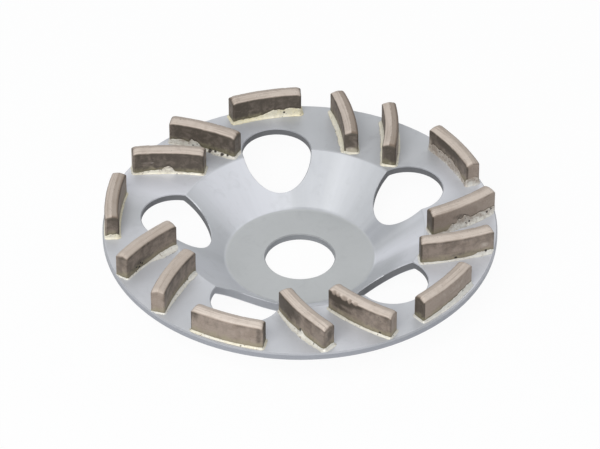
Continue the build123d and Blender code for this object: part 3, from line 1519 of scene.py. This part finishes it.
@dataclass
class BrazeBead(SegmentPart):
    """The braze of one segment: an uneven bead round its foot that climbs its walls in places."""

    skin: float = 0.09 * MM
    edge_limit: float = 62.0 * MM
    inner_limit: float = 39.75 * MM
    holes: int = 5
    hole_limit: float = 11.42 * MM
    hole_circle: float = 39.6 * MM
    first_hole: float = 29.0
    steps_up: int = 14
    buried: float = 0.28 * MM
    ripple_depth: float = 0.06 * MM
    pit_depth: float = 0.2 * MM
    foot_curve: float = 2.6
    climb_curve: float = 1.3

    def node(self) -> str:
        """Returns the name of the CAD node that this piece stands for."""
        return f"braze_{self.number:02d}"

    def seed(self) -> Vector:
        """Returns this bead's own place in the noise."""
        return Vector((self.number * 2.3, self.number * 4.1, 1.0))

    def tall(self) -> int:
        """Returns how many points a column has, with one more inside the wall at each end."""
        return self.steps_up + 3

    def on_land(self, point: Vector) -> bool:
        """Tells whether a point lies over the flat of the rim, clear of holes and edges.

        Args:
            point: The point on the wheel.

        Returns:
            True if it does.
        """
        radius = math.hypot(point.x, point.y)
        if radius > self.edge_limit or radius < self.inner_limit:
            return False
        for hole in range(self.holes):
            turn = math.radians(self.first_hole + 360.0 / self.holes * hole)
            away_x = point.x - self.hole_circle * math.cos(turn)
            away_y = point.y - self.hole_circle * math.sin(turn)
            if math.hypot(away_x, away_y) < self.hole_limit:
                return False
        return True

    def cleared(self, point: Vector, home: Vector) -> Vector:
        """Pulls a point towards the wall until it lies on the flat of the rim.

        Args:
            point: The wanted point.
            home: The point on the segment's wall that it belongs to.

        Returns:
            The point, moved where it has to be.
        """
        best = point.copy()
        for _ in range(16):
            if self.on_land(best):
                return best
            best.x += (home.x - best.x) * 0.2
            best.y += (home.y - best.y) * 0.2
        return best

    def column(self, step: Step, foot: BeadFoot,
               pits: Sequence[tuple[Mark, float]]) -> tuple[list[Vector], list[float]]:
        """Makes the points of one column, from inside the wall over the rim and up the wall.

        Args:
            step: The step round the foot.
            foot: Where the bead starts there, and how high and far it goes.
            pits: The segment's pits with their places round the foot.

        Returns:
            The points, and how strongly a pit shows at each.
        """
        points = [Vector((foot.inside.x, foot.inside.y, RIM_TOP + 0.02 * MM))]
        marks = [0.0]
        for rung in range(self.steps_up + 1):
            level = rung / self.steps_up
            drawn = (1.0 - level) ** self.foot_curve
            up = 0.01 * MM + foot.height * level ** self.climb_curve
            uneven = noise.noise((foot.home + foot.outward * level * 0.002) * 1500.0 + self.seed())
            ripple = uneven * self.ripple_depth * (1.0 - level)
            pit = self.strongest(pits, step, up)
            thick = self.skin * (1.0 - level ** 4) - pit * self.pit_depth
            point = foot.home + foot.outward * (drawn * foot.reach + thick + ripple)
            point.z = RIM_TOP + up
            points.append(self.cleared(point, foot.home))
            marks.append(pit)
        points.append(Vector((foot.inside.x, foot.inside.y, RIM_TOP + foot.height * 0.94)))
        marks.append(0.0)
        return points, marks

    def soots(self, step: Step, height: float) -> list[float]:
        """Works out the burnt flux of one column, more of it where the braze climbs high.

        Args:
            step: The step round the foot.
            height: How high the braze stands there.

        Returns:
            From 0 for clean to 1 for black at each point of the column.
        """
        at_end = step.side in (Side.INNER_END, Side.OUTER_END)
        burnt = self.look.braze_soot * (1.0 - (self.look.clean_ends if at_end else 0.0))
        values = []
        for rung in range(self.tall()):
            level = max(0.0, (rung - 1) / self.steps_up)
            high = height / MM * level
            total = burnt * (0.35 + 0.9 * level) + 0.16 * max(0.0, high - 1.2)
            values.append(max(0.0, min(1.0, total)))
        return values

    @staticmethod
    def hoop(count: int, tall: int) -> list[tuple[int, ...]]:
        """Lists the faces of a closed tube made of columns.

        Args:
            count: How many columns there are.
            tall: How many points a column has.

        Returns:
            The point numbers of each face.
        """
        faces: list[tuple[int, ...]] = []
        for index in range(count):
            ahead = (index + 1) % count
            for rung in range(tall):
                over = (rung + 1) % tall
                faces.append((index * tall + rung, ahead * tall + rung,
                              ahead * tall + over, index * tall + over))
        return faces

    def build(self, material: bpy.types.Material) -> bpy.types.Object:
        """Makes the bead's mesh as a band from the rim up the wall.

        Args:
            material: The braze finish.

        Returns:
            The bead, already riding on the root body and named by its number.
        """
        walk = self.outline.walk()
        homes = [self.on_wheel(step) for step in walk]
        heights, reaches = BrazeLine(self.number, self.look, self.outline).survey(walk, homes)
        pits = self.marks(self.look.pits)
        buried = self.outline.walk(-self.buried)
        beyond = self.outline.walk(1.0 * MM)
        points: list[Vector] = []
        soots: list[float] = []
        pitted: list[float] = []
        for index, step in enumerate(walk):
            outward = (self.on_wheel(beyond[index]) - homes[index]).normalized()
            inside = self.on_wheel(buried[index])
            foot = BeadFoot(homes[index], outward, inside, heights[index], reaches[index])
            column, shown = self.column(step, foot, pits)
            points.extend(column)
            pitted.extend(shown)
            soots.extend(self.soots(step, heights[index]))
        faces = self.hoop(len(walk), self.tall())
        made = MeshPiece.build(f"braze_bead_{self.number:02d}", points, faces, material)
        MeshPiece.carry(made, Field.SOOT, soots)
        MeshPiece.carry(made, Field.PALE, [self.look.golden] * len(points))
        MeshPiece.carry(made, Field.PIT, pitted)
        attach(made, "root")
        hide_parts(self.node())
        return made


@dataclass
class WheelBody:
    """The dished steel disc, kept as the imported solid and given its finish."""

    node: str = "wheel_body"

    def dress(self, made: bpy.types.Object, finish: Finish) -> None:
        """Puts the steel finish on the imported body.

        Args:
            made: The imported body's object.
            finish: The steel finish.
        """
        material = finish.material()
        for place in made.material_slots:
            place.material = material


@dataclass
class AbrasiveRing:
    """All fifteen segments with their braze."""

    looks: dict[int, SegmentLook]
    plan: RimPlan = field(default_factory=RimPlan)

    def build(self, sintered: Finish, braze: Finish, report: Callable[[str], None]) -> None:
        """Builds each segment and its bead.

        Args:
            sintered: The segments' finish.
            braze: The beads' finish.
            report: Called with a line about each piece.
        """
        sintered_material = sintered.material()
        braze_material = braze.material()
        for index, station in enumerate(self.plan.stations()):
            number = index + 1
            look = self.looks.get(number, SegmentLook())
            segment = AbrasiveSegment(number, station, look).build(sintered_material)
            bead = BrazeBead(number, station, look).build(braze_material)
            counts = (len(segment.data.polygons), len(bead.data.polygons))
            report(f"segment {number:02d}: {counts[0]} faces, bead {counts[1]}")


class SegmentLooks:
    """What each segment shows: where braze climbed, where it is pitted, sooty or pale."""

    @staticmethod
    def back() -> dict[int, SegmentLook]:
        """Sets out the far half of the wheel.

        Returns:
            The looks of its segments by their nodes' numbers.
        """
        return {
            2: SegmentLook(
                concave_soot=0.62, convex_soot=0.3, inner_soot=0.10, outer_soot=0.5, top_soot=0.18,
                braze_soot=1.0, golden=0.0, clean_ends=0.30, bead_height=0.5, bead_out=0.22, line=0.30,
                climbs=(
                    Climb(Side.CONCAVE, 0.62, 0.44, 2.8, 0.05),
                    Climb(Side.INNER_END, 0.4, 0.11, 2.3, 0.5),
                ),
                pale=(Mark(Side.CONCAVE, 0.985, 2.4, 1.0, 3.4, 0.45),),
                dark=(Mark(Side.CONCAVE, 0.55, 6.4, 9.0, 1.6, 0.35),),
            ),
            3: SegmentLook(
                concave_soot=0.66, inner_soot=1.0, outer_soot=0.4, top_soot=0.20,
                facet_shade=(0.0, 1.0), braze_soot=0.06, golden=0.45, bead_height=0.6, bead_out=0.35,
                climbs=(Climb(Side.CONCAVE, 0.55, 0.46, 0.5, 0.75),),
                pale=(Mark(Side.INNER_END, 0.55, 0.9, 1.2, 1.1, 0.5),),
            ),
            4: SegmentLook(
                concave_soot=0.66, inner_soot=0.75, outer_soot=0.4, top_soot=0.22,
                facet_shade=(0.0, 1.0), braze_soot=0.05, golden=0.5, bead_height=0.6, bead_out=0.35,
                climbs=(Climb(Side.CONCAVE, 0.5, 0.50, 0.6, 0.9),),
                pale=(Mark(Side.INNER_END, 0.5, 1.0, 3.0, 1.6, 0.85),),
            ),
            5: SegmentLook(
                concave_soot=0.92, convex_soot=0.4, inner_soot=0.6, outer_soot=0.7, top_soot=0.20,
                braze_soot=0.02, golden=1.0, edge_line=0.2, bead_height=0.75, bead_out=0.4, line=0.8,
                climbs=(
                    Climb(Side.CONCAVE, 0.22, 0.30, 1.9, 0.30),
                    Climb(Side.CONCAVE, 0.16, 0.07, 0.5),
                    Climb(Side.CONCAVE, 0.80, 0.25, 0.2, 0.35),
                ),
                pits=(Mark(Side.CONCAVE, 0.24, 1.4, 0.42, 0.45),),
            ),
            6: SegmentLook(
                concave_soot=0.90, convex_soot=0.4, inner_soot=0.85, outer_soot=0.6, top_soot=0.20,
                braze_soot=0.35, golden=0.20, bead_height=0.65, bead_out=0.35, line=0.8,
                climbs=(
                    Climb(Side.CONCAVE, 0.86, 0.20, 1.5, 0.1),
                    Climb(Side.CONCAVE, 0.62, 0.08, 1.7),
                    Climb(Side.CONCAVE, 0.22, 0.24, 0.0, 0.75),
                ),
                pits=(
                    Mark(Side.CONCAVE, 0.38, 0.40, 0.80, 0.50),
                    Mark(Side.CONCAVE, 0.29, 0.55, 0.55, 0.35),
                    Mark(Side.CONCAVE, 0.18, 0.35, 0.70, 0.35),
                    Mark(Side.CONCAVE, 0.09, 0.50, 0.50, 0.35),
                ),
            ),
            7: SegmentLook(
                concave_soot=0.90, convex_soot=0.35, inner_soot=0.5, outer_soot=0.5, top_soot=0.16,
                braze_soot=0.30, golden=0.45, bead_height=0.62, bead_out=0.35, line=0.7,
                climbs=(
                    Climb(Side.CONCAVE, 0.51, 0.085, 1.5),
                    Climb(Side.CONCAVE, 0.50, 0.05, 0.5),
                    Climb(Side.CONCAVE, 0.70, 0.14, 0.45, 0.1),
                ),
                pale=(Mark(Side.CONCAVE, 0.80, 4.2, 2.6, 0.35, 0.5),),
            ),
            8: SegmentLook(
                concave_soot=0.22, inner_soot=0.5, outer_soot=0.72, top_soot=0.26,
                facet_shade=(0.75, 0.10), braze_soot=0.04, golden=0.75, bead_height=0.6, bead_out=0.35,
                climbs=(Climb(Side.OUTER_END, 0.5, 0.10, 0.9, 0.25),),
                pits=(
                    Mark(Side.CONCAVE, 0.97, 1.2, 0.45, 0.45),
                    Mark(Side.CONCAVE, 0.91, 0.8, 0.50, 0.45),
                    Mark(Side.CONCAVE, 0.85, 1.3, 0.40, 0.40),
                ),
            ),
        }

    @staticmethod
    def front() -> dict[int, SegmentLook]:
        """Sets out the near half of the wheel.

        Returns:
            The looks of its segments by their nodes' numbers.
        """
        return {
            1: SegmentLook(
                concave_soot=0.3, convex_soot=0.0, inner_soot=1.0, outer_soot=0.3, top_soot=0.12,
                facet_shade=(0.75, 0.0), braze_soot=0.50, golden=0.08, bead_height=0.6, bead_out=0.35,
                line=0.85,
                climbs=(
                    Climb(Side.CONVEX, 0.78, 0.30, 2.2, 0.55),
                    Climb(Side.CONVEX, 0.46, 0.085, 2.4),
                    Climb(Side.CONVEX, 0.32, 0.08, 1.6),
                ),
                pits=(
                    Mark(Side.CONVEX, 0.86, 1.6, 0.45, 0.45),
                    Mark(Side.CONVEX, 0.94, 1.9, 0.40, 0.40),
                    Mark(Side.CONVEX, 0.55, 1.3, 0.40, 0.40),
                ),
                dark=(Mark(Side.CONVEX, 0.40, 4.6, 2.4, 0.9, 0.5),),
            ),
            9: SegmentLook(
                concave_soot=0.42, convex_soot=0.2, inner_soot=0.4, outer_soot=0.50, top_soot=0.18,
                facet_shade=(0.55, 0.10), braze_soot=0.10, golden=0.05, bead_height=0.5, bead_out=0.30,
                climbs=(Climb(Side.CONCAVE, 0.20, 0.22, 0.5, 1.5),),
                pits=(
                    Mark(Side.CONCAVE, 0.74, 1.0, 0.55, 0.50),
                    Mark(Side.CONCAVE, 0.67, 1.5, 0.50, 0.45),
                    Mark(Side.CONCAVE, 0.79, 1.7, 0.45, 0.40),
                    Mark(Side.CONCAVE, 0.71, 2.3, 0.40, 0.40),
                ),
                dark=(Mark(Side.CONCAVE, 0.72, 2.2, 6.0, 1.8, 0.36),),
            ),
            10: SegmentLook(
                concave_soot=0.44, inner_soot=0.4, outer_soot=0.10, top_soot=0.18,
                facet_shade=(0.55, 0.10), braze_soot=0.10, golden=0.05, bead_height=0.45, bead_out=0.30,
                climbs=(
                    Climb(Side.CONCAVE, 0.40, 0.42, 0.1, 0.6),
                    Climb(Side.CONCAVE, 0.10, 0.10, 0.8, 0.3),
                ),
            ),
            11: SegmentLook(
                convex_soot=0.12, concave_soot=0.4, inner_soot=0.5, outer_soot=1.0, top_soot=0.0,
                facet_shade=(0.70, 0.0), braze_soot=0.03, golden=0.50, bead_height=0.55, bead_out=0.40,
                dark=(
                    Mark(Side.CONVEX, 0.03, 6.6, 1.6, 2.4, 0.50),
                    Mark(Side.CONVEX, 0.30, 5.6, 5.0, 1.4, 0.16),
                    Mark(Side.CONVEX, 0.97, 5.0, 0.9, 4.0, 0.55),
                ),
            ),
            12: SegmentLook(
                convex_soot=0.40, concave_soot=0.35, inner_soot=0.6, outer_soot=0.48, top_soot=0.08,
                facet_shade=(0.75, 0.0), braze_soot=0.08, golden=0.18, bead_height=0.5, bead_out=0.35,
                climbs=(
                    Climb(Side.CONVEX, 0.56, 0.05, 1.0),
                    Climb(Side.CONVEX, 0.60, 0.46, 0.15, 0.75),
                    Climb(Side.OUTER_END, 0.5, 0.10, 0.7, 0.3),
                ),
                pits=(Mark(Side.CONVEX, 0.53, 1.4, 0.50, 0.60),),
                dark=(
                    Mark(Side.CONVEX, 0.15, 5.4, 7.0, 3.6, 0.66),
                    Mark(Side.OUTER_END, 0.5, 4.5, 1.2, 2.2, 0.25),
                ),
                pale=(Mark(Side.CONVEX, 0.9, 3.5, 3.2, 3.0, 0.25),),
            ),
            13: SegmentLook(
                convex_soot=0.40, concave_soot=0.35, inner_soot=0.5, outer_soot=0.10, top_soot=0.12,
                facet_shade=(0.75, 0.0), braze_soot=0.12, golden=0.22, bead_height=0.5, bead_out=0.45,
                pits=(Mark(Side.CONVEX, 0.86, 0.9, 0.45, 0.40),),
                dark=(
                    Mark(Side.CONVEX, 0.10, 6.2, 3.4, 1.9, 0.85),
                    Mark(Side.CONVEX, 0.31, 6.5, 3.2, 1.3, 0.75),
                    Mark(Side.CONVEX, 0.48, 7.2, 2.6, 0.7, 0.50),
                    Mark(Side.CONVEX, 0.22, 3.4, 3.8, 0.8, 0.50),
                ),
                chips=(
                    Mark(Side.CONVEX, 0.08, 8.0, 0.7, 0.90),
                    Mark(Side.CONVEX, 0.16, 8.0, 0.6, 0.60),
                    Mark(Side.CONVEX, 0.26, 8.0, 1.1, 0.85),
                    Mark(Side.CONVEX, 0.36, 8.0, 0.6, 0.95),
                    Mark(Side.CONVEX, 0.46, 8.0, 0.9, 0.60),
                ),
            ),
            14: SegmentLook(
                convex_soot=0.0, concave_soot=0.3, inner_soot=1.0, outer_soot=0.3, top_soot=0.20,
                facet_shade=(0.60, 0.0), braze_soot=0.05, golden=0.05, bead_height=0.8, bead_out=0.40,
                line=1.0,
                climbs=(
                    Climb(Side.CONVEX, 0.66, 0.42, 0.8, 0.25),
                    Climb(Side.CONVEX, 0.86, 0.16, 0.7),
                ),
                pale=(Mark(Side.CONVEX, 0.58, 6.0, 9.0, 3.4, 0.30),),
            ),
            15: SegmentLook(
                convex_soot=0.32, concave_soot=0.35, inner_soot=1.0, outer_soot=0.3, top_soot=0.10,
                facet_shade=(0.75, 0.0), braze_soot=0.22, golden=0.05, bead_height=0.5, bead_out=0.40,
                climbs=(Climb(Side.CONVEX, 0.88, 0.14, 0.9, 0.35),),
                pits=(
                    Mark(Side.CONVEX, 0.90, 1.3, 0.50, 0.45),
                    Mark(Side.CONVEX, 0.47, 0.9, 0.60, 0.40),
                ),
                dark=(Mark(Side.CONVEX, 0.62, 2.0, 4.0, 0.9, 0.25),),
                pale=(Mark(Side.CONVEX, 0.85, 3.6, 2.4, 1.6, 0.4),),
            ),
        }


@dataclass
class Studio:
    """A white floor, soft lamps and the camera at the photograph's angle."""

    camera_place: tuple[float, float, float] = (0.000015, -1.1709, 0.9657)
    camera_tilt: float = 90.0 - 39.06
    lens: float = 285.9
    sensor: float = 36.0
    world_strength: float = 0.50
    lamp_side: float = 0.8
    key_place: tuple[float, float, float] = (-0.35, -0.85, 0.85)
    key_power: float = 11.0
    back_place: tuple[float, float, float] = (0.5, 0.95, 0.55)
    back_power: float = 1.0
    floor_half: float = 2.0
    floor_drop: float = 0.05 * MM
    floor_glow: float = 0.94

    def camera(self) -> None:
        """Puts the camera where the photograph was taken from."""
        data = bpy.data.cameras.new("view")
        data.lens = self.lens
        data.sensor_width = self.sensor
        data.sensor_fit = "HORIZONTAL"
        data.clip_start = 0.01
        made = bpy.data.objects.new("view", data)
        made.location = self.camera_place
        made.rotation_euler = (math.radians(self.camera_tilt), 0.0, 0.0)
        bpy.context.collection.objects.link(made)
        bpy.context.scene.camera = made

    @staticmethod
    def seen(sheet: NodeSheet) -> bpy.types.NodeSocket:
        """Finds out which rays see the white studio.

        Args:
            sheet: The node tree that asks.

        Returns:
            1 for rays from the camera, and for those that metal or glass sends on, else 0.
        """
        path = sheet.add("LightPath")
        shown = sheet.math("MAXIMUM", path.outputs["Is Camera Ray"], path.outputs["Is Glossy Ray"])
        return sheet.math("MAXIMUM", shown, path.outputs["Is Transmission Ray"])

    def floor(self) -> None:
        """Lays a pale floor that shows white and keeps a little of the wheel's shadow."""
        half = self.floor_half
        corners = [Vector((-half, -half, 0.0)), Vector((half, -half, 0.0)),
                   Vector((half, half, 0.0)), Vector((-half, half, 0.0))]
        material = bpy.data.materials.new("pale_floor")
        material.use_nodes = True
        material.node_tree.nodes.clear()
        sheet = NodeSheet(material.node_tree)
        cloth = sheet.add("BsdfDiffuse")
        cloth.inputs["Color"].default_value = rgb(0.85, 0.86, 0.88)
        glow = sheet.add("Emission")
        glow.inputs["Color"].default_value = rgb(1.0, 1.0, 1.0)
        mix = sheet.add("MixShader")
        sheet.join(sheet.times(self.seen(sheet), self.floor_glow), mix.inputs[0])
        sheet.join(cloth.outputs[0], mix.inputs[1])
        sheet.join(glow.outputs[0], mix.inputs[2])
        output = sheet.add("OutputMaterial")
        sheet.join(mix.outputs[0], output.inputs["Surface"])
        made = MeshPiece.build("floor", corners, [(0, 1, 2, 3)], material, smooth=False)
        made.location.z = -self.floor_drop

    def world(self) -> None:
        """Sets an even sky that shows white."""
        world = bpy.data.worlds.new("studio")
        bpy.context.scene.world = world
        world.use_nodes = True
        world.node_tree.nodes.clear()
        sheet = NodeSheet(world.node_tree)
        light = sheet.add("Background")
        light.inputs["Color"].default_value = rgb(0.95, 0.975, 1.0)
        light.inputs["Strength"].default_value = self.world_strength
        white = sheet.add("Background")
        white.inputs["Color"].default_value = rgb(1.0, 1.0, 1.0)
        white.inputs["Strength"].default_value = 1.0
        mix = sheet.add("MixShader")
        sheet.join(self.seen(sheet), mix.inputs[0])
        sheet.join(light.outputs[0], mix.inputs[1])
        sheet.join(white.outputs[0], mix.inputs[2])
        output = sheet.add("OutputWorld")
        sheet.join(mix.outputs[0], output.inputs["Surface"])

    @staticmethod
    def lamp(name: str, place: tuple[float, float, float], size: float, power: float) -> None:
        """Hangs a square soft lamp that points at the wheel.

        Args:
            name: The lamp's name.
            place: Where it hangs.
            size: Its side in metres.
            power: Its power in watts.
        """
        data = bpy.data.lights.new(name, "AREA")
        data.shape = "SQUARE"
        data.size = size
        data.energy = power
        data.color = (1.0, 0.985, 0.965)
        made = bpy.data.objects.new(name, data)
        made.location = place
        away = Vector((0.0, 0.0, 0.01)) - Vector(place)
        made.rotation_euler = away.to_track_quat("-Z", "Y").to_euler()
        bpy.context.collection.objects.link(made)

    def build(self) -> None:
        """Sets up everything that isn't the wheel."""
        bpy.context.scene.view_settings.view_transform = "Standard"
        self.camera()
        self.floor()
        self.world()
        self.lamp("key", self.key_place, self.lamp_side, self.key_power)
        self.lamp("back", self.back_place, self.lamp_side, self.back_power)


def main() -> None:
    """Builds the wheel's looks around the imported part."""
    logging.basicConfig(level=logging.INFO, format="%(name)s: %(message)s")
    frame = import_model()
    body = WheelBody()
    body.dress(frame["nodes"][body.node], TurnedSteel())
    LOG.info("wheel body dressed")
    looks = SegmentLooks.back() | SegmentLooks.front()
    AbrasiveRing(looks).build(SinteredMetal(), PaleBraze(), LOG.info)
    Studio().build()


if __name__ == "__main__":
    main()
